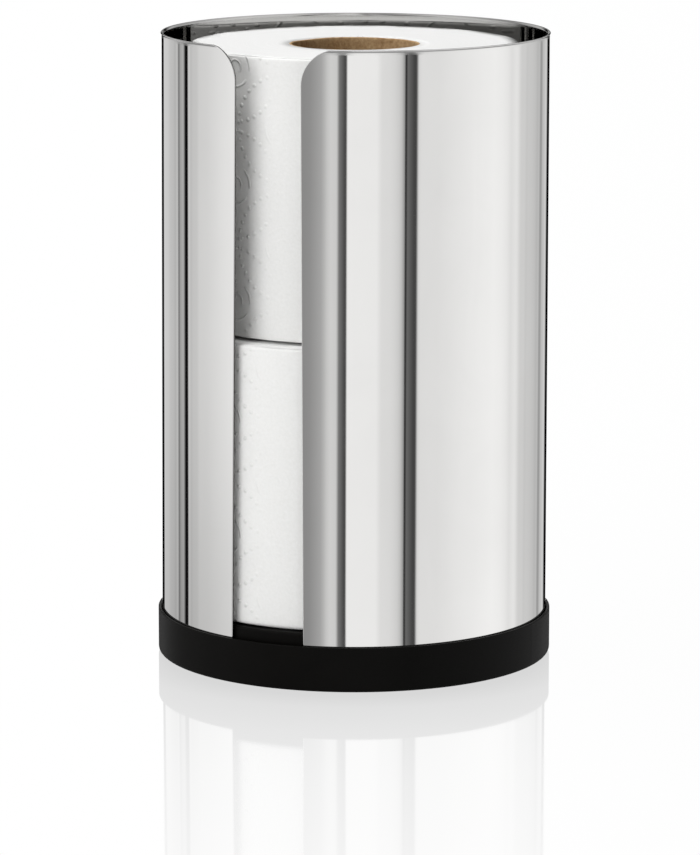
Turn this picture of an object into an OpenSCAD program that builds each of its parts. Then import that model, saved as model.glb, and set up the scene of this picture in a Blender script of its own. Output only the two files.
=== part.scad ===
// Free-standing canister for two stacked tissue rolls.
// A rolled sheet-steel shell with a full-height slot stands in the groove of a round moulded base.
// Origin: centre of the footprint, at the floor. +Z is up and the slot faces -Y.

/* [Shell] */
// Outer diameter of the rolled sheet
shell_d = 135; // [130:0.5:145]
// Thickness of the sheet
sheet_t = 0.8; // [0.5:0.1:1.2]
// Height of the rim above the floor
rim_z = 219; // [216:1:240]
// Height of the flared lip at the rim
lip_h = 1.7; // [1:0.1:3]
// How far the lip flares outwards
lip_flare = 0.45; // [0.2:0.05:0.8]

/* [Slot] */
// Width of the slot at the rim, between its straight edges
slot_top_w = 24.6; // [18:0.2:34]
// Width of the slot at the base
slot_foot_w = 27.2; // [18:0.2:34]
// Radius of the sheet's two corners where the slot meets the rim
slot_corner_r = 12; // [4:0.5:16]

/* [Base] */
// Outer diameter of the base
base_d = 138.3; // [137.6:0.1:142]
// Height of the base's outer rim above the floor
base_rim_z = 16; // [14:0.5:18]
// Height of the platform that the rolls stand on
platform_z = 20; // [17:0.5:24]
// Thickness of the rim's wall outside the groove
rim_wall = 1.15; // [0.9:0.05:1.4]
// Height of the groove's floor, where the sheet stands
groove_z = 6; // [5:0.5:8]
// Gap between the platform and the inside of the sheet
platform_gap = 0.45; // [0.3:0.05:0.6]
// Radius of the base's lower outer edge
base_foot_r = 1.4; // [0.8:0.1:2]
// Number of locating ribs that centre the sheet
locator_count = 12; // [6:1:24]

/* [Underside] */
// Thickness of the base's walls and platform
base_wall = 2.2; // [1.6:0.1:3]
// Thickness of the stiffening ribs inside the base
rib_t = 1.6; // [1:0.1:2.4]
// Spacing of the ring ribs
ring_pitch = 15; // [10:0.5:15.5]
// Number of ring ribs
ring_count = 4; // [3:1:4]
// Number of radial ribs
spoke_count = 12; // [8:4:24]
// Thickness of the plate that closes the underside
plate_t = 2.2; // [2:0.1:3]
// Gap around the plate
plate_gap = 0.2; // [0.1:0.05:0.4]

/* [Feet] */
// Diameter of each anti-slip pad
pad_d = 12; // [8:0.5:14]
// Thickness of each pad
pad_t = 1.6; // [1:0.1:2]
// How far each pad stands out below the base
pad_out = 0.4; // [0.3:0.1:0.8]
// Radius of the circle that the pads sit on
pad_ring_r = 50; // [46:0.5:54]

/* [Rolls] */
// Outer diameter of a tissue roll
roll_d = 114.2; // [100:0.2:118]
// Height of a tissue roll
roll_h = 97.2; // [96:0.2:100]
// Radius of the roll's rounded paper edges
roll_edge_r = 1; // [0.5:0.1:3]
// Bore of the cardboard core
core_bore_d = 43.4; // [38:0.2:46]
// Thickness of the core's wall
core_wall = 1; // [0.6:0.1:1.6]
// Clearance below each roll
roll_gap = 0.2; // [0.1:0.05:0.5]
// How far the lower roll stands from the middle, towards the slot
lower_roll_shift = 7.5; // [0:0.5:9]

/* [Hidden] */

$fn = 180;
overlap = 0.5;
edge_r = 0.3;
platform_edge_r = 0.8;
rim_edge_r = 0.35;
cut_margin = 2;
arc_steps = 6;
locator_r = 0.6;
locator_gap = 0.02;

steel = "silver";
plastic = "#1c1b19";
rubber = "#2b2b2b";
paper = "whitesmoke";
kraft = "#8c6b4a";

shell_r = shell_d / 2;
shell_in_r = shell_r - sheet_t;
base_r = base_d / 2;
base_low_z = pad_out;
rim_in_r = base_r - rim_wall;
platform_r = shell_in_r - platform_gap;
ceiling_z = platform_z - base_wall;
groove_low_z = groove_z - base_wall;
skirt_in_r = base_r - base_wall - edge_r;
inner_wall_r = platform_r - base_wall;
rib_low_z = base_low_z + plate_t;
hub_r = 3 * rib_t;
lower_roll_z = platform_z + roll_gap;
upper_roll_z = lower_roll_z + roll_h + roll_gap;

// Points of an arc about [x, y] from angle a0 to a1, both ends included
function arc(x, y, r, a0, a1) = [
    for (i = [0 : arc_steps])
        let (a = a0 + (a1 - a0) * i / arc_steps)
        [x + r * cos(a), y + r * sin(a)]
];

// Ring of rectangular section between two radii and two heights
module ring(inner_r, outer_r, low_z, high_z) {
    rotate_extrude()
        translate([inner_r, low_z])
            square([outer_r - inner_r, high_z - low_z]);
}

// Section of the sheet: a straight wall that flares into a lip with rounded edges
module shell_section() {
    lip_z = rim_z - lip_h;
    polygon(concat(
        [[shell_in_r, groove_z], [shell_r, groove_z], [shell_r, lip_z]],
        arc(shell_r + lip_flare - edge_r, rim_z - edge_r, edge_r, -15, 90),
        arc(shell_in_r + lip_flare + edge_r, rim_z - edge_r, edge_r, 90, 165),
        [[shell_in_r, lip_z]]
    ));
}

// Outline of the slot in the flat, opening through the rim with rounded sheet corners
module slot_outline() {
    low_z = groove_z - cut_margin;
    high_z = rim_z + cut_margin;
    half_top = slot_top_w / 2;
    half_foot = slot_foot_w / 2;
    corner_z = rim_z - slot_corner_r;
    corner_x = half_top + slot_corner_r;
    polygon(concat(
        [[-half_foot, low_z], [half_foot, low_z]],
        arc(corner_x, corner_z, slot_corner_r, 180, 90),
        [[corner_x, high_z], [-corner_x, high_z]],
        arc(-corner_x, corner_z, slot_corner_r, 90, 0)
    ));
}

module shell() {
    color(steel)
        difference() {
            rotate_extrude()
                shell_section();
            rotate([90, 0, 0])
                linear_extrude(shell_r + cut_margin)
                    slot_outline();
        }
}

// Section of the base's skin: skirt, rim, groove, platform wall and platform
module base_section() {
    polygon(concat(
        [[0, ceiling_z], [inner_wall_r, ceiling_z], [inner_wall_r, groove_low_z]],
        [[skirt_in_r, groove_low_z], [skirt_in_r, base_low_z]],
        arc(base_r - base_foot_r, base_low_z + base_foot_r, base_foot_r, -90, 0),
        arc(base_r - rim_edge_r, base_rim_z - rim_edge_r, rim_edge_r, 0, 90),
        arc(rim_in_r + rim_edge_r, base_rim_z - rim_edge_r, rim_edge_r, 90, 180),
        [[rim_in_r, groove_z], [platform_r, groove_z]],
        arc(platform_r - platform_edge_r, platform_z - platform_edge_r, platform_edge_r, 0, 90),
        [[0, platform_z]]
    ));
}

// Stiffening ribs inside the base: rings about a hub, crossed by spokes
module base_ribs() {
    rib_h = ceiling_z - rib_low_z + overlap;
    for (i = [1 : ring_count])
        ring(i * ring_pitch - rib_t / 2, i * ring_pitch + rib_t / 2, rib_low_z, rib_low_z + rib_h);
    translate([0, 0, rib_low_z])
        cylinder(h = rib_h, r = hub_r);
    for (i = [0 : spoke_count - 1])
        rotate([0, 0, (i + 0.5) * 360 / spoke_count])
            translate([0, -rib_t / 2, rib_low_z])
                cube([inner_wall_r + overlap, rib_t, rib_h]);
}

// Small round ribs in the groove that centre the sheet
module locators() {
    for (i = [0 : locator_count - 1])
        rotate([0, 0, (i + 0.5) * 360 / locator_count])
            translate([shell_in_r - locator_r - locator_gap, 0, groove_z - overlap])
                cylinder(h = base_rim_z - groove_z, r = locator_r, $fn = 24);
}

module base() {
    color(plastic)
        union() {
            rotate_extrude()
                base_section();
            base_ribs();
            locators();
        }
}

// Moves its children to a pad's place, at an angle round the base
module at_foot(angle) {
    rotate([0, 0, angle])
        translate([pad_ring_r, 0, 0])
            children();
}

// Disc that closes the underside, with a pocket for each pad
module bottom_plate() {
    color(plastic)
        difference() {
            translate([0, 0, base_low_z])
                cylinder(h = plate_t, r = skirt_in_r - plate_gap);
            for (angle = [0 : 90 : 270])
                at_foot(angle)
                    cylinder(h = pad_t, d = pad_d);
        }
}

// One anti-slip pad, stuck in its pocket
module foot(angle) {
    color(rubber)
        at_foot(angle)
            cylinder(h = pad_t, d = pad_d);
}

module foot_front() {
    foot(270);
}

module foot_back() {
    foot(90);
}

module foot_left() {
    foot(180);
}

module foot_right() {
    foot(0);
}

// Cardboard tube that a roll is wound on, at a height and a distance towards the slot
module roll_core(low_z, shift) {
    color(kraft)
        translate([0, -shift, low_z])
            ring(core_bore_d / 2, core_bore_d / 2 + core_wall, 0, roll_h);
}

// Wound paper with rounded outer edges, placed like its core
module roll_paper(low_z, shift) {
    inner_r = core_bore_d / 2 + core_wall;
    corner_r = roll_d / 2 - roll_edge_r;
    color(paper)
        translate([0, -shift, low_z])
            rotate_extrude()
                polygon(concat(
                    [[inner_r, 0]],
                    arc(corner_r, roll_edge_r, roll_edge_r, -90, 0),
                    arc(corner_r, roll_h - roll_edge_r, roll_edge_r, 0, 90),
                    [[inner_r, roll_h]]
                ));
}

module lower_roll_core() {
    roll_core(lower_roll_z, lower_roll_shift);
}

module lower_roll_paper() {
    roll_paper(lower_roll_z, lower_roll_shift);
}

module upper_roll_core() {
    roll_core(upper_roll_z, 0);
}

module upper_roll_paper() {
    roll_paper(upper_roll_z, 0);
}

shell();
base();
bottom_plate();
foot_front();
foot_back();
foot_left();
foot_right();
lower_roll_core();
lower_roll_paper();
upper_roll_core();
upper_roll_paper();
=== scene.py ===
import math

import bpy
import numpy as np
from mathutils import Matrix, Vector


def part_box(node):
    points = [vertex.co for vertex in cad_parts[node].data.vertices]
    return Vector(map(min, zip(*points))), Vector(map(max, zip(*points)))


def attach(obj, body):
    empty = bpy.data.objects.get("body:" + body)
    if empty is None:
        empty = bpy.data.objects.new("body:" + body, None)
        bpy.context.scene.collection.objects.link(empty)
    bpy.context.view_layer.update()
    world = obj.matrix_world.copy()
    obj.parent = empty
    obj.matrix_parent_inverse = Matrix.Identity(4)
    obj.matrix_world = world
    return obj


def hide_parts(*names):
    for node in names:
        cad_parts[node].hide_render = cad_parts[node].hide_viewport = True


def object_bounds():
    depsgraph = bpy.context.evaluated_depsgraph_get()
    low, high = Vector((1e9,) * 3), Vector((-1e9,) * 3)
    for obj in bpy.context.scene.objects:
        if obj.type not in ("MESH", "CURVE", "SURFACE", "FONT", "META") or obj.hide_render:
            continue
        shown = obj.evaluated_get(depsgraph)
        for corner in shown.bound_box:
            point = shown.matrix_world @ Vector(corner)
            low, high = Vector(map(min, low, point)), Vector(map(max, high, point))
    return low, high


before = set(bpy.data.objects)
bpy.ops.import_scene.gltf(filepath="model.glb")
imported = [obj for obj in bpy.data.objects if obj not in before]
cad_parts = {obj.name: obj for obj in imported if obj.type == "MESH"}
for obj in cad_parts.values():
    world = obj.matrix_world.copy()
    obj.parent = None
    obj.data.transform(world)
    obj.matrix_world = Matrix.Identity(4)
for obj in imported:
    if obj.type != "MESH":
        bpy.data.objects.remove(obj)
CAD_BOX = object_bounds()

# Everything is in metres, in the CAD frame: +Z up, the slot faces -Y, z = 0 is the floor.
MM = 0.001

# The lens stands this far round the object from -Y towards +X, in degrees.
LENS_AZIMUTH = 26.4

# Shell
SHEET_T = 0.8 * MM
CAD_FLARE = 0.45 * MM  # how far the CAD lip stands out past the wall
LIP_H = 1.7 * MM
LIP_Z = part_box("shell")[1].z - LIP_H
LIP_FLARE = 0.3 * MM
LIP_BEND = 0.6 * MM
EDGE_R = 0.3 * MM
FOOT_SPREAD = 0.3 * MM
RIM_SPRING = 0.3 * MM
RIM_LEAN = 0.46 * MM
LEAN_PIVOT = 0.09  # share of the height where the leaning wall is in its true place
SLOT_TOP_W = 24.6 * MM
SLOT_FOOT_W = 27.2 * MM
SLOT_CORNER_R = 12.0 * MM
SHELL_STEPS_ROUND = 761

# Rolls; azimuths are in degrees from -Y towards +X
ROLL_STEPS_ROUND = 600
ROLL_STEPS_UP = 110
ROLL_END_STEPS = 9
ROLL_EDGE_R = 0.7 * MM
ROLL_FOOT_R = 1.5 * MM
ROLL_GIRTH = 359.0 * MM
TAIL_AZIMUTH = 70.0
TAIL_STEP = 0.22 * MM
PROUD_AZIMUTH = 176.0
EMBOSS_CELLS = 9

# Cores
CORE_STEPS_ROUND = 240
CORE_STEPS_UP = 90
CORE_WALL = 1.0 * MM
CORE_RIM = 0.28 * MM
PLY_PITCH = 78 * MM

# ---------------------------------------------------------------- meshes

def make_object(name, verts, faces, normals=None, axis=(0.0, 0.0)):
    """A smooth mesh object from arrays, about a vertical axis at x, y. Vertex normals are optional."""
    mesh = bpy.data.meshes.new(name)
    mesh.from_pydata([tuple(v) for v in verts], [], [tuple(int(i) for i in f) for f in faces])
    mesh.validate()
    mesh.polygons.foreach_set("use_smooth", [True] * len(mesh.polygons))
    if normals is not None:
        mesh.normals_split_custom_set_from_vertices([tuple(n) for n in normals])
    mesh.update()
    obj = bpy.data.objects.new(name, mesh)
    obj.location = (*axis, 0.0)
    bpy.context.scene.collection.objects.link(obj)
    return obj


def grid_faces(rows, cols, wrap_rows=False, wrap_cols=False, start=0):
    """Quads over a rows x cols grid of vertices, stored row by row."""
    i = np.arange(rows if wrap_rows else rows - 1)
    j = np.arange(cols if wrap_cols else cols - 1)
    i, j = np.meshgrid(i, j, indexing="ij")
    i2, j2 = (i + 1) % rows, (j + 1) % cols
    quads = np.stack([i * cols + j, i * cols + j2, i2 * cols + j2, i2 * cols + j], -1)
    return quads.reshape(-1, 4) + start


def wavelets(points, seed, count, scale):
    """Smooth seeded noise: a sum of sine waves of about the given wavelength over 2-D points."""
    rng = np.random.default_rng(seed)
    angle = rng.uniform(0, 2 * math.pi, count)
    length = scale * rng.uniform(0.7, 1.5, count)
    phase = rng.uniform(0, 2 * math.pi, count)
    out = np.zeros(points.shape[:-1])
    for a, w, p in zip(angle, length, phase):
        travel = points[..., 0] * math.cos(a) + points[..., 1] * math.sin(a)
        out += np.sin(2 * math.pi * travel / w + p)
    return out / math.sqrt(count)


# ---------------------------------------------------------------- shell

def slot_edge(z, foot_z, rim_z):
    """Half width of the slot at height z, following the rounded corner up to the rim."""
    corner_z = rim_z - SLOT_CORNER_R
    straight = (z - foot_z) / (corner_z - foot_z)
    half = (SLOT_FOOT_W + (SLOT_TOP_W - SLOT_FOOT_W) * np.clip(straight, 0, 1)) / 2
    up = np.clip(z - corner_z, 0, SLOT_CORNER_R)
    return half + SLOT_CORNER_R - np.sqrt(SLOT_CORNER_R ** 2 - up ** 2)


def flare(z, rim_z):
    """How far the lip stands out at height z, and the slope there: it curls out just below the rim."""
    t = np.clip((z - (rim_z - EDGE_R - LIP_BEND)) / LIP_BEND, 0, 1)
    return LIP_FLARE * t * t, 2 * LIP_FLARE / LIP_BEND * t


def build_shell():
    """The rolled sheet: one closed strip whose rows run round the tube from one side of the slot to
    the other, with rounded cut edges and a flared lip. It springs in and leans a little at the rim."""
    low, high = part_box("shell")
    foot_z, rim_z = low.z, high.z
    wall_r = high.x - CAD_FLARE
    mid = wall_r - SHEET_T / 2

    corner_z = rim_z - SLOT_CORNER_R
    lip_z = rim_z - LIP_H
    plain = np.linspace(foot_z + EDGE_R, corner_z, 10)
    bend = corner_z + SLOT_CORNER_R * np.sin(np.linspace(0, math.pi / 2, 28))
    lip = np.concatenate([[lip_z], np.linspace(rim_z - EDGE_R - LIP_BEND, rim_z - EDGE_R, 11)])
    z = np.unique(np.round(np.concatenate([plain, bend[bend < lip_z - 0.05 * MM], lip]), 7))
    rows, cols = len(z), SHELL_STEPS_ROUND

    half = np.arcsin((slot_edge(z, foot_z, rim_z) + EDGE_R) / wall_r)[:, None]
    theta = half + (2 * math.pi - 2 * half) * np.linspace(0, 1, cols)[None, :]
    out, slope = flare(z, rim_z)
    up = (z - foot_z) / (rim_z - foot_z)
    out = out + FOOT_SPREAD * (1 - up) - RIM_SPRING * up
    lean = RIM_LEAN * (up - LEAN_PIVOT)[:, None]

    def skin(side):
        r = mid + out + side * SHEET_T / 2
        x = r[:, None] * np.sin(theta) + lean
        y = -r[:, None] * np.cos(theta)
        zz = np.broadcast_to(z[:, None], x.shape)
        tilt = 1 / np.sqrt(1 + slope ** 2)
        n = np.stack([
            side * np.sin(theta) * tilt[:, None],
            -side * np.cos(theta) * tilt[:, None],
            np.broadcast_to((-side * slope * tilt)[:, None], x.shape),
        ], -1)
        return np.stack([x, y, zz], -1), n

    outer, outer_n = skin(1)
    inner, inner_n = skin(-1)
    count = rows * cols

    # the boundary loop of the grid, anticlockwise: foot, one slot edge, rim, other slot edge
    loop = [(0, c) for c in range(cols)]
    loop += [(r, cols - 1) for r in range(1, rows)]
    loop += [(rows - 1, c) for c in range(cols - 2, -1, -1)]
    loop += [(r, 0) for r in range(rows - 2, 0, -1)]
    ids = np.array([r * cols + c for r, c in loop])
    outer_flat, inner_flat = outer.reshape(-1, 3), inner.reshape(-1, 3)
    edge_out, edge_in = outer_flat[ids], inner_flat[ids]
    centre = (edge_out + edge_in) / 2
    thick = edge_out - edge_in
    thick /= np.linalg.norm(thick, axis=1)[:, None]
    along = np.roll(centre, -1, axis=0) - np.roll(centre, 1, axis=0)
    away = np.cross(along, thick)
    away /= np.linalg.norm(away, axis=1)[:, None]

    profile = [math.radians(a) for a in (22, 45, 68, 90, 112, 135, 158)]
    verts = [outer_flat, inner_flat]
    normals = [outer_n.reshape(-1, 3), inner_n.reshape(-1, 3)]
    for a in profile:
        verts.append(centre + away * EDGE_R * math.sin(a) + thick * SHEET_T / 2 * math.cos(a))
        normals.append(away * math.sin(a) + thick * math.cos(a))
    faces = [grid_faces(rows, cols), grid_faces(rows, cols, start=count)[:, ::-1]]
    ring = len(ids)
    layers = [ids] + [2 * count + k * ring + np.arange(ring) for k in range(len(profile))] + [ids + count]
    for a, b in zip(layers, layers[1:]):
        a2, b2 = np.roll(a, -1), np.roll(b, -1)
        faces.append(np.stack([a, b, b2, a2], -1))
    obj = make_object("steel_shell", np.concatenate(verts), np.concatenate(faces), np.concatenate(normals))
    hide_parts("shell")
    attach(obj, "holder")
    return obj


# ---------------------------------------------------------------- rolls

def build_roll_paper(node, body, seed, proud, tuck):
    """A wound roll: soft edges, an outer sheet with loose places and a tail, and wound end faces.
    proud is how far the outer turns stand up at the back of the top face, and tuck how far they
    are pushed in at the bottom."""
    low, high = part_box(node)
    axis = ((low.x + high.x) / 2, (low.y + high.y) / 2)
    outer_r = (high.x - low.x) / 2
    core_low, core_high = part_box(node.replace("paper", "core"))
    core_r = (core_high.x - core_low.x) / 2
    height = high.z - low.z
    cols, ends = ROLL_STEPS_ROUND, ROLL_END_STEPS
    theta = np.linspace(0, 2 * math.pi, cols, endpoint=False)

    # profile from the bore at the bottom, over the side, to the bore at the top
    share = np.linspace(0, 1, ends)
    corner = np.linspace(0, math.pi / 2, 6)[1:-1]
    prof_r = np.concatenate([
        core_r + (outer_r - ROLL_FOOT_R - core_r) * share,
        outer_r - ROLL_FOOT_R + ROLL_FOOT_R * np.sin(corner),
        np.full(ROLL_STEPS_UP, outer_r),
        outer_r - ROLL_EDGE_R + ROLL_EDGE_R * np.sin(corner[::-1]),
        core_r + (outer_r - ROLL_EDGE_R - core_r) * share[::-1],
    ])
    prof_z = np.concatenate([
        np.zeros(ends),
        ROLL_FOOT_R - ROLL_FOOT_R * np.cos(corner),
        np.linspace(ROLL_FOOT_R, height - ROLL_EDGE_R, ROLL_STEPS_UP),
        height - ROLL_EDGE_R + ROLL_EDGE_R * np.cos(corner[::-1]),
        np.full(ends, height),
    ])
    n_prof = len(prof_r)
    t, zz = np.meshgrid(theta, prof_z, indexing="ij")
    rr = np.broadcast_to(prof_r[None, :], t.shape).copy()
    on_side = np.zeros(n_prof)
    on_side[ends:-ends] = 1
    around = np.stack([np.cos(t) * outer_r, np.sin(t) * outer_r + zz * 0.9], -1)
    loose = 0.12 * MM * np.clip(wavelets(around, seed, 16, 24 * MM) - 1.0, None, 0)
    tail = math.radians(TAIL_AZIMUTH)
    past = (t - tail) % (2 * math.pi)
    curl = TAIL_STEP * np.exp(-past / 0.9)
    rr += on_side[None, :] * (loose - (TAIL_STEP - curl) * 0.8)
    rr = np.minimum(rr, outer_r - 0.02 * MM)

    # the paper's edges are a little ragged at both ends, and the wound faces dish very slightly
    edge = np.exp(-((prof_r - (outer_r - ROLL_EDGE_R * 0.4)) / (1.2 * MM)) ** 2)
    ragged = 0.035 * MM * (wavelets(around, seed + 2, 20, 8 * MM) - 1.4)
    dish_r = (rr - core_r) / (outer_r - core_r)
    dish = 0.08 * MM * np.sin(np.clip(dish_r, 0, 1) * math.pi)
    top = (prof_z > height / 2)[None, :]
    into = edge[None, :] * ragged - dish - np.where(top, 0.0, tuck * np.clip(dish_r, 0, 1) ** 3)
    flat = np.exp(-np.minimum(prof_z, height - prof_z) / (0.9 * MM))[None, :]
    zz = zz + np.where(top, 1, -1) * np.clip(into, None, -0.02 * MM) * flat
    lifted = proud * (0.5 + 0.5 * np.cos(t - math.radians(PROUD_AZIMUTH))) * np.clip(dish_r, 0, 1) ** 2
    zz += np.where(top, lifted * flat, 0.0)

    x = rr * np.sin(t)
    y = -rr * np.cos(t)
    verts = np.stack([x, y, zz + low.z], -1).reshape(-1, 3)
    # the bore wall closes the ring
    faces = grid_faces(cols, n_prof, wrap_rows=True, wrap_cols=True)[:, ::-1]
    obj = make_object(node.replace("paper", "tissue"), verts, faces, axis=axis)
    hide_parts(node)
    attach(obj, body)
    return obj


def build_core(node, body, seed):
    """A spiral-wound cardboard tube with a butt seam and soft, slightly crushed rims."""
    low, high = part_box(node)
    axis = ((low.x + high.x) / 2, (low.y + high.y) / 2)
    outer_r = (high.x - low.x) / 2 - 0.03 * MM
    height = high.z - low.z
    theta = np.linspace(0, 2 * math.pi, CORE_STEPS_ROUND, endpoint=False)
    z_in = np.linspace(CORE_RIM, height - CORE_RIM, CORE_STEPS_UP)
    round_end = np.linspace(0, math.pi, 9)[1:-1]
    half = CORE_WALL / 2
    mid = outer_r - half

    # profile up the outside, over the top rim, down the inside and under the bottom rim
    prof = [(outer_r, CORE_RIM), (outer_r, height - CORE_RIM)]
    prof += [(mid + half * math.cos(a), height - CORE_RIM + CORE_RIM * math.sin(a)) for a in round_end]
    prof += [(outer_r - CORE_WALL, inner_z) for inner_z in z_in[::-1]]
    prof += [(mid - half * math.cos(a), CORE_RIM - CORE_RIM * math.sin(a)) for a in round_end]
    prof = np.array(prof)
    t, pr = np.meshgrid(theta, prof[:, 0], indexing="ij")
    _, pz = np.meshgrid(theta, prof[:, 1], indexing="ij")

    # the seam between plies runs down the inside in a helix
    helix = (t / (2 * math.pi) - pz / PLY_PITCH) % 1.0
    girth = 2 * math.pi * mid
    seam_d = np.minimum(helix, 1 - helix) * girth * math.cos(math.atan(PLY_PITCH / girth))
    seam = np.exp(-(seam_d / (0.5 * MM)) ** 2)
    inside = np.where(pr < mid, 1, 0)
    rr = pr + inside * seam * 0.12 * MM
    rr += inside * 0.05 * MM * (1 + wavelets(np.stack([t * mid, pz], -1), seed, 14, 14 * MM))
    rr = np.minimum(rr, outer_r)
    ring = np.stack([np.cos(t) * mid, np.sin(t) * mid], -1)
    crush = 0.12 * MM * (wavelets(ring, seed + 1, 10, 18 * MM) - 1)
    top = pz > height / 2
    near = np.exp(-np.minimum(pz, height - pz) / (1.0 * MM))
    zz = pz + np.where(top, 1, -1) * np.clip(crush, None, -0.02 * MM) * near
    verts = np.stack([rr * np.sin(t), -rr * np.cos(t), zz + low.z], -1).reshape(-1, 3)
    faces = grid_faces(CORE_STEPS_ROUND, len(prof), wrap_rows=True, wrap_cols=True)[:, ::-1]
    obj = make_object(node + "_tube", verts, faces, axis=axis)
    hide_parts(node)
    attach(obj, body)
    return obj


# ---------------------------------------------------------------- materials

class Tree:
    """Short calls for building a node material."""

    def __init__(self, name):
        self.material = bpy.data.materials.new(name)
        self.material.use_nodes = True
        self.tree = self.material.node_tree
        self.tree.nodes.clear()
        self.output = self.add("ShaderNodeOutputMaterial")
        self.shader = self.add("ShaderNodeBsdfPrincipled")
        self.link(self.shader.outputs[0], self.output.inputs["Surface"])

    def add(self, kind, **settings):
        node = self.tree.nodes.new(kind)
        for key, value in settings.items():
            setattr(node, key, value)
        return node

    def link(self, source, target):
        self.tree.links.new(source, target)

    def put(self, target, value):
        if isinstance(value, bpy.types.NodeSocket):
            self.link(value, target)
        else:
            target.default_value = value

    def math(self, operation, a, b=0.0, c=0.0, clamp=False):
        node = self.add("ShaderNodeMath", operation=operation, use_clamp=clamp)
        for socket, value in zip(node.inputs, (a, b, c)):
            self.put(socket, value)
        return node.outputs[0]

    def coords(self, scale=(1, 1, 1)):
        source = self.add("ShaderNodeTexCoord").outputs["Object"]
        mapping = self.add("ShaderNodeMapping")
        mapping.inputs["Scale"].default_value = scale
        self.link(source, mapping.inputs["Vector"])
        return mapping.outputs[0]

    def cylindrical(self):
        """Angle in turns, radius and height of the point, about the object's axis."""
        split = self.add("ShaderNodeSeparateXYZ")
        self.link(self.add("ShaderNodeTexCoord").outputs["Object"], split.inputs[0])
        x, y, z = split.outputs
        radius = self.math("SQRT", self.math("ADD", self.math("MULTIPLY", x, x), self.math("MULTIPLY", y, y)))
        return self.math("DIVIDE", self.math("ARCTAN2", y, x), 2 * math.pi), radius, z

    def join(self, x, y, z):
        node = self.add("ShaderNodeCombineXYZ")
        for socket, value in zip(node.inputs, (x, y, z)):
            self.put(socket, value)
        return node.outputs[0]

    def noise(self, vector, scale, detail=3.0, rough=0.55, distortion=0.0):
        node = self.add("ShaderNodeTexNoise")
        self.link(vector, node.inputs["Vector"])
        node.inputs["Scale"].default_value = scale
        node.inputs["Detail"].default_value = detail
        node.inputs["Roughness"].default_value = rough
        node.inputs["Distortion"].default_value = distortion
        return node.outputs["Fac"]

    def ramp(self, factor, stops, interpolation="LINEAR"):
        node = self.add("ShaderNodeValToRGB")
        fill_ramp(node.color_ramp, stops, interpolation)
        self.link(factor, node.inputs["Fac"])
        return node.outputs["Color"]

    def spread(self, value, low, high, to_low, to_high):
        node = self.add("ShaderNodeMapRange")
        self.link(value, node.inputs["Value"])
        for key, number in (("From Min", low), ("From Max", high), ("To Min", to_low), ("To Max", to_high)):
            node.inputs[key].default_value = number
        return node.outputs["Result"]

    def blend(self, factor, a, b, mode="MIX"):
        node = self.add("ShaderNodeMix", data_type="RGBA", blend_type=mode)
        for socket, value in ((node.inputs["Factor"], factor), (node.inputs[6], a), (node.inputs[7], b)):
            self.put(socket, value)
        return node.outputs[2]

    def bump(self, height, distance, strength=1.0):
        node = self.add("ShaderNodeBump")
        self.link(height, node.inputs["Height"])
        node.inputs["Distance"].default_value = distance
        node.inputs["Strength"].default_value = strength
        self.link(node.outputs[0], self.shader.inputs["Normal"])


def fill_ramp(color_ramp, stops, interpolation="LINEAR"):
    color_ramp.interpolation = interpolation
    while len(color_ramp.elements) > 1:
        color_ramp.elements.remove(color_ramp.elements[-1])
    for index, (position, color) in enumerate(stops):
        element = color_ramp.elements[0] if index == 0 else color_ramp.elements.new(position)
        element.position = position
        element.color = (*color, 1.0) if len(color) == 3 else color


def grey(value):
    return (value, value, value)


def polished_steel():
    """Mirror-polished stainless sheet: polishing haze, fine lines and wipe marks. Its inside takes a darker
    copy of the steel tone as painted shade, and its cut faces that face +X are painted near black as painted
    shade; the cut edges are also rougher."""
    m = Tree("polished_steel")
    turn, radius, z = m.cylindrical()
    lines = m.join(m.math("MULTIPLY", turn, 3.0), radius, m.math("MULTIPLY", z, 900.0))
    lines = m.noise(lines, 1.0, 4.0)
    haze = m.noise(m.coords(), 22.0, 4.0, 0.6, 0.6)
    wipes = m.noise(m.coords((60, 60, 9)), 1.0, 3.0, 0.5, 1.2)
    mixed = m.math("ADD", m.math("MULTIPLY", haze, 0.6), m.math("MULTIPLY", wipes, 0.4))
    outside = m.ramp(mixed, [(0.3, (0.775, 0.77, 0.76)), (0.7, (0.815, 0.81, 0.80))])
    # painted shade: the inside of the tube gets a darker copy of the steel tone
    inside = m.ramp(mixed, [(0.3, (0.50, 0.495, 0.485)), (0.7, (0.56, 0.555, 0.545))])
    # painted shade: the cut faces' near-black tone
    cut_edge_painted_shade = m.ramp(mixed, [(0.3, (0.045, 0.044, 0.042)), (0.7, (0.075, 0.074, 0.071))])

    # the part of the normal that points away from the axis tells outside, inside and cut edge apart
    normal = m.add("ShaderNodeSeparateXYZ")
    m.link(m.add("ShaderNodeNewGeometry").outputs["Normal"], normal.inputs[0])
    angle = m.math("MULTIPLY", turn, 2 * math.pi)
    along_x = m.math("MULTIPLY", normal.outputs[0], m.math("COSINE", angle))
    along_y = m.math("MULTIPLY", normal.outputs[1], m.math("SINE", angle))
    outwards = m.math("ADD", along_x, along_y)
    cut = m.spread(m.math("ABSOLUTE", outwards), 0.45, 0.75, 1.0, 0.0)
    # the painted shade on cut faces is kept to edges that face +X; edges that face -X stay bright
    cut = m.math("MULTIPLY", cut, m.spread(normal.outputs[0], -0.5, -0.2, 0.0, 1.0))
    # the inside tone is painted shade, and the cut faces are blended to a near-black painted shade
    tone = m.blend(m.math("LESS_THAN", outwards, 0.0), outside, inside)
    m.link(m.blend(cut, tone, cut_edge_painted_shade), m.shader.inputs["Base Color"])
    m.shader.inputs["Metallic"].default_value = 1.0
    lip = m.spread(z, LIP_Z, LIP_Z + 0.3 * MM, 0.0, 0.12)
    polish = m.math("ADD", m.spread(mixed, 0.35, 0.7, 0.018, 0.045), lip)
    m.link(m.math("ADD", polish, m.math("MULTIPLY", cut, 0.3)), m.shader.inputs["Roughness"])
    m.bump(lines, 0.0000012)
    return m.material


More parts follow.
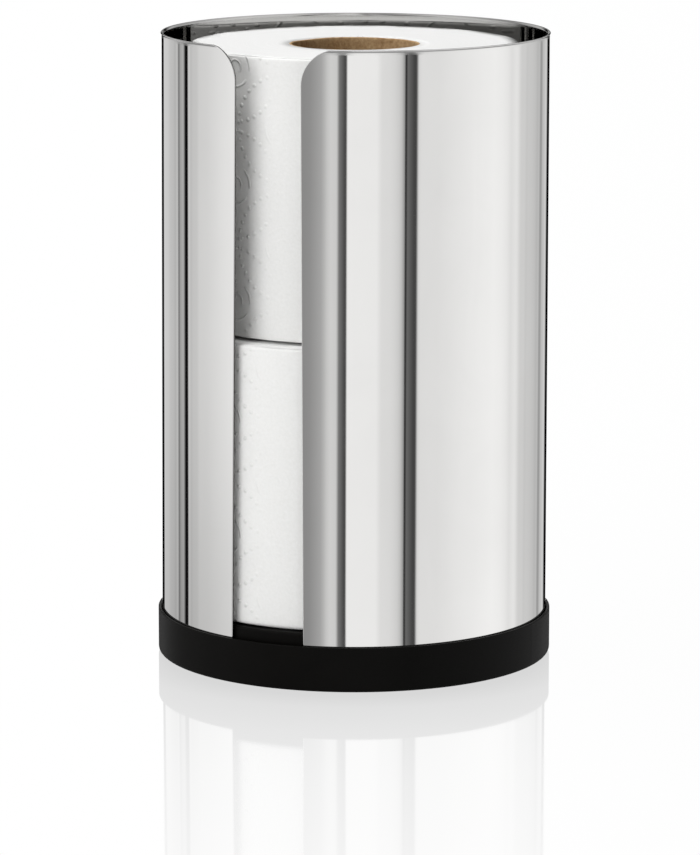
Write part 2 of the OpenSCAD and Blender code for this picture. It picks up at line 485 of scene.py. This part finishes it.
def black_plastic():
    """Fine-textured black moulding with a satin sheen."""
    m = Tree("black_plastic")
    grain = m.noise(m.coords(), 2600.0, 3.0, 0.6)
    cloud = m.noise(m.coords(), 38.0, 4.0, 0.6)
    tone = m.ramp(cloud, [(0.3, (0.0028, 0.0026, 0.0023)), (0.7, (0.0042, 0.0039, 0.0035))])
    m.link(tone, m.shader.inputs["Base Color"])
    m.shader.inputs["Specular IOR Level"].default_value = 0.055
    rough = m.math("ADD", m.math("MULTIPLY", cloud, 0.12), m.math("MULTIPLY", grain, 0.10))
    m.link(m.spread(rough, 0.05, 0.17, 0.40, 0.52), m.shader.inputs["Roughness"])
    m.bump(grain, 0.00003, 0.6)
    return m.material


def pad_rubber():
    """Soft dark rubber with a dusty bloom."""
    m = Tree("pad_rubber")
    grain = m.noise(m.coords(), 1800.0, 3.0)
    bloom = m.noise(m.coords(), 160.0, 4.0)
    tone = m.ramp(bloom, [(0.3, (0.018, 0.018, 0.018)), (0.75, (0.05, 0.05, 0.048))])
    m.link(tone, m.shader.inputs["Base Color"])
    m.link(m.spread(bloom, 0.3, 0.7, 0.72, 0.9), m.shader.inputs["Roughness"])
    m.bump(grain, 0.00006, 0.5)
    return m.material


def quilting(m, turn, z):
    """Height of the pressed pattern, from 0 to 1: dots along crossing circles, and small loops."""
    cell = ROLL_GIRTH / EMBOSS_CELLS

    def cell_polar(offset):
        along = m.math("MULTIPLY", turn, EMBOSS_CELLS)
        place = []
        for value in (along, m.math("DIVIDE", z, cell)):
            local = m.math("FRACT", m.math("ADD", value, offset))
            place.append(m.math("MULTIPLY", m.math("SUBTRACT", local, 0.5), cell))
        u, v = place
        reach = m.math("SQRT", m.math("ADD", m.math("MULTIPLY", u, u), m.math("MULTIPLY", v, v)))
        return reach, m.math("DIVIDE", m.math("ARCTAN2", v, u), 2 * math.pi)

    def dots(reach, angle, radius, count, size):
        step = 2 * math.pi * radius / count
        place = m.math("FRACT", m.math("MULTIPLY", angle, count))
        side = m.math("MULTIPLY", m.math("SUBTRACT", place, 0.5), step)
        away = m.math("SUBTRACT", reach, radius)
        gap = m.math("SQRT", m.math("ADD", m.math("MULTIPLY", side, side), m.math("MULTIPLY", away, away)))
        return m.spread(gap, size * 0.25, size, 1.0, 0.0)

    def loop(reach, angle, radius, width, petals):
        away = m.math("ABSOLUTE", m.math("SUBTRACT", reach, radius))
        ridge = m.spread(away, 0.0, width, 1.0, 0.0)
        part = m.math("SINE", m.math("MULTIPLY", angle, 2 * math.pi * petals))
        return m.math("MULTIPLY", ridge, m.spread(part, -0.6, 0.0, 0.0, 1.0))

    height = None
    for offset in (0.22, 0.72):
        reach, angle = cell_polar(offset)
        for shape in (
            dots(reach, angle, 18.3 * MM, 38, 0.85 * MM),
            loop(reach, angle, 2.6 * MM, 0.6 * MM, 1),
            loop(reach, angle, 6.5 * MM, 0.6 * MM, 4),
        ):
            height = shape if height is None else m.math("MAXIMUM", height, shape)
    # fingers have smoothed the sheet where it faces the slot
    left = m.spread(turn, -0.281, -0.258, 1.0, 0.07)
    right = m.spread(turn, -0.17, -0.12, 0.07, 1.0)
    return m.math("MULTIPLY", height, m.math("MAXIMUM", left, right))


def tissue():
    """Soft white paper: fibre mottling, fine crepe bars round the sheet, and wound layers on the ends."""
    m = Tree("tissue")
    turn, radius, z = m.cylindrical()
    normal = m.add("ShaderNodeSeparateXYZ")
    m.link(m.add("ShaderNodeNewGeometry").outputs["Normal"], normal.inputs[0])
    end = m.spread(m.math("ABSOLUTE", normal.outputs[2]), 0.75, 0.95, 0.0, 1.0)
    crepe = m.join(m.math("MULTIPLY", turn, ROLL_GIRTH * 5200.0), 0.0, m.math("MULTIPLY", z, 1300.0))
    crepe = m.noise(crepe, 1.0, 3.0, 0.6)
    fibre = m.noise(m.coords(), 900.0, 4.0, 0.65)
    spiral = m.math("ADD", radius, m.math("MULTIPLY", turn, 0.00036))
    layers = m.join(m.math("MULTIPLY", spiral, 2600.0), m.math("MULTIPLY", turn, 2.0), 0.0)
    layers = m.noise(layers, 1.0, 3.0, 0.7)
    cloud = m.noise(m.coords(), 45.0, 3.0)
    side_tone = m.ramp(fibre, [(0.25, (0.80, 0.80, 0.785)), (0.75, (0.855, 0.855, 0.845))])
    end_tone = m.ramp(layers, [(0.25, (0.80, 0.80, 0.79)), (0.7, (0.87, 0.87, 0.865))])
    m.link(m.blend(end, side_tone, end_tone), m.shader.inputs["Base Color"])
    m.link(m.spread(cloud, 0.3, 0.7, 0.88, 0.98), m.shader.inputs["Roughness"])
    m.shader.inputs["Specular IOR Level"].default_value = 0.15
    m.shader.inputs["Sheen Weight"].default_value = 0.15
    side_height = m.math("ADD", m.math("MULTIPLY", crepe, 0.04), m.math("MULTIPLY", fibre, 0.04))
    side_height = m.math("ADD", side_height, quilting(m, turn, z))
    height = m.math("MULTIPLY", side_height, m.math("SUBTRACT", 1.0, end))
    height = m.math("ADD", height, m.math("MULTIPLY", m.math("MULTIPLY", layers, 0.09), end))
    m.bump(height, 0.38 * MM)
    return m.material


def core_board():
    """Recycled kraft board: brown plies wound in a spiral, with paler and darker fibres."""
    m = Tree("core_board")
    turn, radius, z = m.cylindrical()
    ply = m.math("FRACT", m.math("SUBTRACT", turn, m.math("DIVIDE", z, PLY_PITCH)))
    seam = m.math("MULTIPLY", m.math("MINIMUM", ply, m.math("SUBTRACT", 1.0, ply)), 2.0)
    speck = m.noise(m.coords(), 900.0, 3.0, 0.7)
    fibre = m.noise(m.coords((1, 1, 0.4)), 320.0, 4.0, 0.7, 0.4)
    cloud = m.noise(m.coords(), 90.0, 3.0)
    mixed = m.math("ADD", m.math("MULTIPLY", speck, 0.45), m.math("MULTIPLY", fibre, 0.35))
    mixed = m.math("ADD", mixed, m.math("MULTIPLY", cloud, 0.2))
    tone = m.ramp(mixed, [
        (0.34, (0.270, 0.158, 0.074)),
        (0.46, (0.410, 0.264, 0.136)),
        (0.56, (0.510, 0.350, 0.190)),
        (0.68, (0.630, 0.475, 0.285)),
    ])
    dark = m.ramp(seam, [(0.0, (0.45, 0.42, 0.40)), (0.03, (1.0, 1.0, 1.0))])
    m.link(m.blend(1.0, tone, dark, "MULTIPLY"), m.shader.inputs["Base Color"])
    m.link(m.spread(speck, 0.3, 0.7, 0.8, 0.95), m.shader.inputs["Roughness"])
    m.shader.inputs["Specular IOR Level"].default_value = 0.2
    m.bump(mixed, 0.0001, 0.6)
    return m.material


# ---------------------------------------------------------------- studio

# Brightness of the studio round the object, as polished steel shows it: light panels and black
# flags at bearings in degrees from the lens, positive to the lens's right.
STUDIO_LEFT = [
    (-180, 1.0), (-174, 1.0), (-172, 0.0), (-161.2, 0.0), (-159, 0.62), (-157.5, 0.78), (-155.5, 0.70),
    (-148, 0.70), (-143.5, 0.63), (-137.5, 0.60), (-134.5, 0.54), (-133, 0.60), (-131, 0.65), (-129.8, 0.24),
    (-128.4, 0.25), (-127.4, 0.42), (-123.3, 0.52), (-120.9, 0.01), (-118.1, 0.0), (-116.9, 0.76),
    (-114.2, 0.62), (-112, 0.68), (-108, 0.70), (-105.5, 0.78), (-98, 0.81), (-88, 0.89), (-78, 0.97),
    (-60, 0.90),
]
STUDIO_FRONT = [
    (-60, 0.90), (-50, 0.55), (-31, 0.31), (-26.5, 0.34), (-22.5, 0.41), (-20, 0.46), (-18, 0.57),
    (-16.4, 0.69), (-14.3, 0.77), (-10.9, 0.74), (-9.4, 0.22), (-6.2, 0.08), (-5.3, 0.08), (-4.5, 1.02),
    (12.5, 1.01), (15.5, 0.88), (20.5, 0.86), (23, 0.82), (25.6, 0.75), (27.2, 0.64), (28.9, 0.36),
    (29.3, 0.04), (30.1, 0.04), (30.7, 0.17), (32.7, 0.12), (34.7, 0.07), (36.1, 0.07), (37.5, 0.82),
    (39, 0.89), (50, 0.90),
]
STUDIO_RIGHT = [
    (50, 0.90), (61, 0.96), (70, 1.0), (80, 1.04), (90, 1.07), (97, 1.04), (101.5, 0.99), (105.5, 0.90),
    (107.8, 0.93), (110.5, 0.96), (112.3, 0.92), (114.2, 0.82), (116, 0.76), (120, 0.75), (122.3, 0.69),
    (124.5, 0.71), (129, 0.69), (134, 0.64), (137.5, 0.57), (141, 0.60), (142.9, 0.38), (145.3, 0.38),
    (147.8, 0.59), (152.5, 0.64), (156.0, 0.74), (158.2, 0.50), (160.3, 0.04), (161.5, 0.0), (171.5, 0.0),
    (173.5, 0.9), (180, 1.0),
]


# Brightness of the world as light on rough surfaces
AMBIENT = 0.11


def build_world():
    """White all round, except that polished metal sees the studio's panels and flags near the floor."""
    world = bpy.data.worlds.new("studio")
    bpy.context.scene.world = world
    world.use_nodes = True
    tree = world.node_tree
    tree.nodes.clear()

    def add(kind, **settings):
        node = tree.nodes.new(kind)
        for key, value in settings.items():
            setattr(node, key, value)
        return node

    def put(target, value):
        if isinstance(value, bpy.types.NodeSocket):
            tree.links.new(value, target)
        else:
            target.default_value = value

    def calc(operation, a, b=0.0, clamp=False):
        node = add("ShaderNodeMath", operation=operation, use_clamp=clamp)
        put(node.inputs[0], a)
        put(node.inputs[1], b)
        return node.outputs[0]

    def mix(factor, a, b):
        node = add("ShaderNodeMix", data_type="FLOAT")
        put(node.inputs[0], factor)
        put(node.inputs[2], a)
        put(node.inputs[3], b)
        return node.outputs[0]

    def ease(value, low, high):
        node = add("ShaderNodeMapRange", interpolation_type="SMOOTHSTEP")
        put(node.inputs["Value"], value)
        node.inputs["From Min"].default_value = low
        node.inputs["From Max"].default_value = high
        return node.outputs["Result"]

    split = add("ShaderNodeSeparateXYZ")
    put(split.inputs[0], add("ShaderNodeTexCoord").outputs["Generated"])
    x, y, z = split.outputs
    turn = math.radians(LENS_AZIMUTH)
    # sideways and towards components of the direction, as the lens's place sees them
    right = calc("ADD", calc("MULTIPLY", x, math.cos(turn)), calc("MULTIPLY", y, math.sin(turn)))
    front = calc("SUBTRACT", calc("MULTIPLY", x, math.sin(turn)), calc("MULTIPLY", y, math.cos(turn)))
    bearing = calc("MULTIPLY", calc("ARCTAN2", right, front), 180 / math.pi)

    def panels(stops):
        first, last = stops[0][0], stops[-1][0]
        node = add("ShaderNodeValToRGB")
        fill_ramp(node.color_ramp, [((a - first) / (last - first), grey(v)) for a, v in stops])
        put(node.inputs["Fac"], calc("DIVIDE", calc("SUBTRACT", bearing, first), last - first))
        return node.outputs["Color"]

    on_left = calc("LESS_THAN", bearing, STUDIO_LEFT[-1][0])
    on_right = calc("GREATER_THAN", bearing, STUDIO_RIGHT[0][0])
    bands = mix(on_left, mix(on_right, panels(STUDIO_FRONT), panels(STUDIO_RIGHT)), panels(STUDIO_LEFT))

    # polished metal sees the panels only low down or after a second bounce, and they dim further down
    paths = add("ShaderNodeLightPath")
    second = calc("GREATER_THAN", paths.outputs["Ray Depth"], 1.5)
    near_floor = calc("SUBTRACT", 1.0, ease(z, math.sin(math.radians(0.5)), math.sin(math.radians(3))))
    use_bands = calc("MAXIMUM", near_floor, second)
    down = calc("MULTIPLY", z, -1.0)
    steep = ease(down, math.sin(math.radians(24)), math.sin(math.radians(36)))
    low_bands = mix(calc("MULTIPLY", steep, 0.8), bands, 0.3)
    left_low = calc("MULTIPLY", ease(down, 0.16, 0.245), ease(calc("MULTIPLY", bearing, -1.0), 10, 60))
    low_bands = calc("MULTIPLY", low_bands, calc("SUBTRACT", 1.0, calc("MULTIPLY", left_low, 0.22)))
    mirror = mix(use_bands, 1.0, low_bands)
    level = mix(paths.outputs["Is Glossy Ray"], AMBIENT, mirror)
    level = mix(paths.outputs["Is Camera Ray"], level, 1.0)
    background = add("ShaderNodeBackground")
    background.inputs["Color"].default_value = (1, 1, 1, 1)
    put(background.inputs["Strength"], level)
    put(add("ShaderNodeOutputWorld").inputs["Surface"], background.outputs[0])


def build_floor():
    """A pale glossy floor that shows the object's foot faintly, and fades to white away from it."""
    size = 6.0
    steps = 48
    radii = np.concatenate([[0.0], np.geomspace(0.05, size, steps)])
    turns = np.linspace(0, 2 * math.pi, 96, endpoint=False)
    r, t = np.meshgrid(radii[1:], turns, indexing="ij")
    ring = np.stack([r * np.cos(t), r * np.sin(t), np.zeros_like(r)], -1).reshape(-1, 3)
    verts = np.concatenate([[[0.0, 0.0, 0.0]], ring])
    faces = [tuple(f) for f in grid_faces(steps, len(turns), wrap_cols=True, start=1)]
    hub = [(0, 1 + j, 1 + (j + 1) % len(turns)) for j in range(len(turns))]
    mesh = bpy.data.meshes.new("studio_floor")
    mesh.from_pydata([tuple(v) for v in verts], [], [tuple(int(i) for i in f) for f in faces + hub])
    floor = bpy.data.objects.new("studio_floor", mesh)
    bpy.context.scene.collection.objects.link(floor)
    floor.visible_glossy = False

    m = Tree("studio_floor")
    m.tree.nodes.remove(m.shader)
    _, radius, _ = m.cylindrical()
    grain = m.noise(m.coords(), 60.0, 2.0)
    stops = [(0.17, 0.33), (0.22, 0.25), (0.3, 0.21), (0.45, 0.16), (0.7, 0.11), (1.0, 0.07)]
    fade = m.ramp(m.math("MULTIPLY", radius, 2.5), [(place, grey(level)) for place, level in stops])
    gloss = m.add("ShaderNodeBsdfGlossy")
    gloss.inputs["Color"].default_value = (1, 1, 1, 1)
    m.link(m.spread(grain, 0.3, 0.7, 0.03, 0.06), gloss.inputs["Roughness"])
    glow = m.add("ShaderNodeEmission")
    glow.inputs["Strength"].default_value = 1.0
    surface = m.add("ShaderNodeMixShader")
    m.link(fade, surface.inputs[0])
    m.link(glow.outputs[0], surface.inputs[1])
    m.link(gloss.outputs[0], surface.inputs[2])
    m.link(surface.outputs[0], m.output.inputs["Surface"])
    mesh.materials.append(m.material)
    return floor


def build_light(name, bearing, elevation, distance, size, power):
    """A soft square lamp aimed at the object's middle. bearing is in degrees to the lens's right."""
    lamp = bpy.data.lights.new(name, "AREA")
    lamp.size = size
    lamp.energy = power
    obj = bpy.data.objects.new(name, lamp)
    a, e = math.radians(LENS_AZIMUTH + bearing), math.radians(elevation)
    middle = Vector((0, 0, CAD_BOX[1].z / 2))
    back = Vector((math.sin(a) * math.cos(e), -math.cos(a) * math.cos(e), math.sin(e)))
    obj.location = middle + back * distance
    obj.rotation_euler = (-back).to_track_quat("-Z", "Y").to_euler()
    obj.visible_glossy = False
    bpy.context.scene.collection.objects.link(obj)
    return obj


def build_camera():
    """A long lens a little above the rim, looking slightly down."""
    distance, height = 1.5845, 0.3748
    pitch, yaw, roll = 10.56, -0.053, 0.054
    camera = bpy.data.cameras.new("camera")
    camera.lens = 193.0
    camera.sensor_width = 36.0
    camera.clip_start, camera.clip_end = 0.05, 60.0
    obj = bpy.data.objects.new("camera", camera)
    around = Matrix.Rotation(math.radians(LENS_AZIMUTH), 4, "Z")
    place = Matrix.Translation((0, -distance, height))
    aim = Matrix.Rotation(math.radians(-yaw), 4, "Z") @ Matrix.Rotation(math.radians(90 - pitch), 4, "X")
    obj.matrix_world = around @ place @ aim @ Matrix.Rotation(math.radians(roll), 4, "Z")
    bpy.context.scene.collection.objects.link(obj)
    bpy.context.scene.camera = obj
    return obj


def dress(obj, material):
    obj.data.materials.clear()
    obj.data.materials.append(material)


def dress_node(name, material):
    """A CAD node keeps its mesh and takes a new material in its own slots."""
    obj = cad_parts[name]
    for place in obj.material_slots:
        place.material = material


# ---------------------------------------------------------------- scene

build_camera()
build_world()
build_floor()
build_light("key", -43, 12, 1.4, 1.0, 9.6)
build_light("top", -62, 77, 1.2, 0.9, 13.9)

steel, plastic, rubber = polished_steel(), black_plastic(), pad_rubber()
paper, board = tissue(), core_board()
dress(build_shell(), steel)
for body, paper_seed, core_seed, proud, tuck in (
    ("lower_roll", 11, 41, 0.0, 0.3 * MM),
    ("upper_roll", 17, 44, 0.7 * MM, 0.85 * MM),
):
    dress(build_roll_paper(body + "_paper", body, paper_seed, proud, tuck), paper)
    dress(build_core(body + "_core", body, core_seed), board)
for name in ("base", "bottom_plate"):
    dress_node(name, plastic)
for name in ("foot_front", "foot_back", "foot_left", "foot_right"):
    dress_node(name, rubber)

bpy.context.scene.view_settings.view_transform = "Standard"
